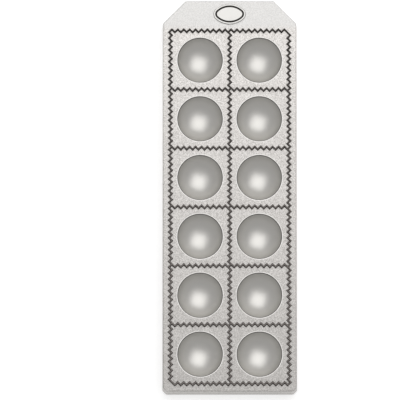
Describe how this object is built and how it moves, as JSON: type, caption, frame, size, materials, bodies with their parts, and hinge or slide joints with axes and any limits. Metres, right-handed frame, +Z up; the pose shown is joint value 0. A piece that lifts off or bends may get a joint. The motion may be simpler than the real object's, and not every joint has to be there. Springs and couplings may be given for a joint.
{
  "type": "ravioli mould",
  "caption": "Flat rectangular cast tray with pinked cutting ridges round square cells, a round dished cup in each, a drafted skirt and a plain clipped end with an oval badge.",
  "frame": {"origin": "on the table, under the middle of the tray", "axes": "+Z up, +Y along the tray towards the plain end with the badge, +X to the right of someone at the other end"},
  "size_m": [0.1024, 0.3002, 0.0185],
  "materials": {
    "tray": "satin, bead blasted and anodised",
    "badge": "polished, with a dark channel"
  },
  "bodies": {
    "root": {"tray": "tray", "badge": "badge"}
  },
  "joints": []
}
